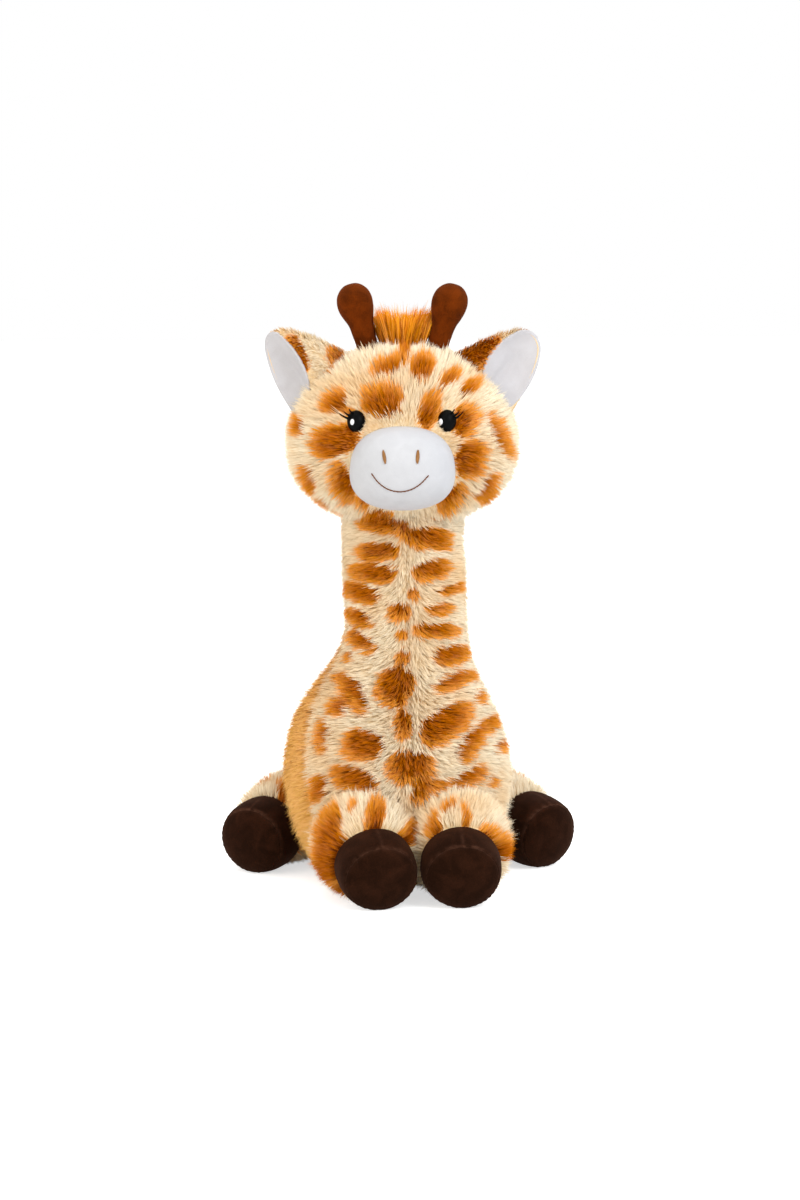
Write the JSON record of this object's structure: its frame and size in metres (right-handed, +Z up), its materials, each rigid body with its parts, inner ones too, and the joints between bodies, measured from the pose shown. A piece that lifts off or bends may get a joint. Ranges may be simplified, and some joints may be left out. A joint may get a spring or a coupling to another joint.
{
  "type": "plush giraffe",
  "caption": "Seated stuffed giraffe with a long upright neck, soft stuffed legs with dark hooves, a white muzzle, cupped ears and knobbed horns; it rests on its seat",
  "frame": {"origin": "middle of the flat seat, on the surface the toy sits on", "axes": "+Z up along the neck, -Y the way the giraffe faces, +X the giraffe's own left"},
  "size_m": [0.2402, 0.2609, 0.401],
  "materials": {
    "spotted_fur": "matte",
    "golden_fur": "matte",
    "long_fur": "matte",
    "hoof_fur": "matte",
    "horn_fur": "matte",
    "white_fur": "matte",
    "lining_fur": "matte",
    "eye_thread": "satin",
    "nose_thread": "matte",
    "smile_thread": "matte",
    "fibre": "matte",
    "bag_cloth": "matte"
  },
  "bodies": {
    "body": {"back_panel": "golden_fur", "base_panel": "golden_fur", "body_stuffing": "fibre", "chest_panel_left": "spotted_fur", "chest_panel_right": "spotted_fur", "neck_mane": "long_fur", "pellet_bag": "bag_cloth"},
    "head": {"eye_left": "eye_thread", "eye_right": "eye_thread", "head_cover": "spotted_fur", "head_mane": "long_fur", "head_stuffing": "fibre", "horn_left": "horn_fur", "horn_right": "horn_fur", "muzzle_cover": "white_fur", "muzzle_stuffing": "fibre", "nostril_left": "nose_thread", "nostril_right": "nose_thread", "smile_stitch": "smile_thread"},
    "tail": {"tail_cover": "golden_fur", "tail_tuft": "long_fur"},
    "ear_left": {"ear_left_fur": "spotted_fur", "ear_left_lining": "lining_fur"},
    "ear_right": {"ear_right_fur": "spotted_fur", "ear_right_lining": "lining_fur"},
    "front_left_leg": {"front_left_hoof_band": "hoof_fur", "front_left_hoof_sole": "hoof_fur", "front_left_leg_cover": "spotted_fur", "front_left_leg_stuffing": "fibre"},
    "front_right_leg": {"front_right_hoof_band": "hoof_fur", "front_right_hoof_sole": "hoof_fur", "front_right_leg_cover": "spotted_fur", "front_right_leg_stuffing": "fibre"},
    "hind_left_leg": {"hind_left_hoof_band": "hoof_fur", "hind_left_hoof_sole": "hoof_fur", "hind_left_leg_cover": "spotted_fur", "hind_left_leg_stuffing": "fibre"},
    "hind_right_leg": {"hind_right_hoof_band": "hoof_fur", "hind_right_hoof_sole": "hoof_fur", "hind_right_leg_cover": "spotted_fur", "hind_right_leg_stuffing": "fibre"}
  },
  "joints": [
    {"name": "head_nod", "type": "hinge", "parent": "body", "child": "head", "pos_m": [0.0015, 0.002, 0.247], "axis": [0.9925, -0.1219, 0], "range_deg": [-14, 14], "stiffness_Nm_per_rad": 3},
    {"name": "front_left_leg_lift", "type": "hinge", "parent": "body", "child": "front_left_leg", "pos_m": [0.0307, -0.068, 0.03457], "axis": [-1, 0, 0], "range_deg": [-8, 24], "stiffness_Nm_per_rad": 1},
    {"name": "hind_left_leg_lift", "type": "hinge", "parent": "body", "child": "hind_left_leg", "pos_m": [0.071, 0.048, 0.03024], "axis": [-0.829, -0.5592, 0], "range_deg": [-8, 24], "stiffness_Nm_per_rad": 1},
    {"name": "front_right_leg_lift", "type": "hinge", "parent": "body", "child": "front_right_leg", "pos_m": [-0.0307, -0.068, 0.03457], "axis": [-1, 0, 0], "range_deg": [-8, 24], "stiffness_Nm_per_rad": 1},
    {"name": "hind_right_leg_lift", "type": "hinge", "parent": "body", "child": "hind_right_leg", "pos_m": [-0.071, 0.048, 0.03024], "axis": [-0.8192, 0.5736, 0], "range_deg": [-8, 24], "stiffness_Nm_per_rad": 1},
    {"name": "ear_left_flap", "type": "hinge", "parent": "head", "child": "ear_left", "pos_m": [0.05313, -0.0124, 0.332], "axis": [0.6641, -0.0815, -0.7431], "range_deg": [-15, 15], "stiffness_Nm_per_rad": 0.1},
    {"name": "ear_right_flap", "type": "hinge", "parent": "head", "child": "ear_right", "pos_m": [-0.05208, 0.00052, 0.332], "axis": [0.6641, -0.0815, 0.7431], "range_deg": [-15, 15], "stiffness_Nm_per_rad": 0.1},
    {"name": "tail_swing", "type": "hinge", "parent": "body", "child": "tail", "pos_m": [0, 0.07, 0.042], "axis": [0, 0, 1], "range_deg": [-30, 30], "stiffness_Nm_per_rad": 0.1}
  ]
}
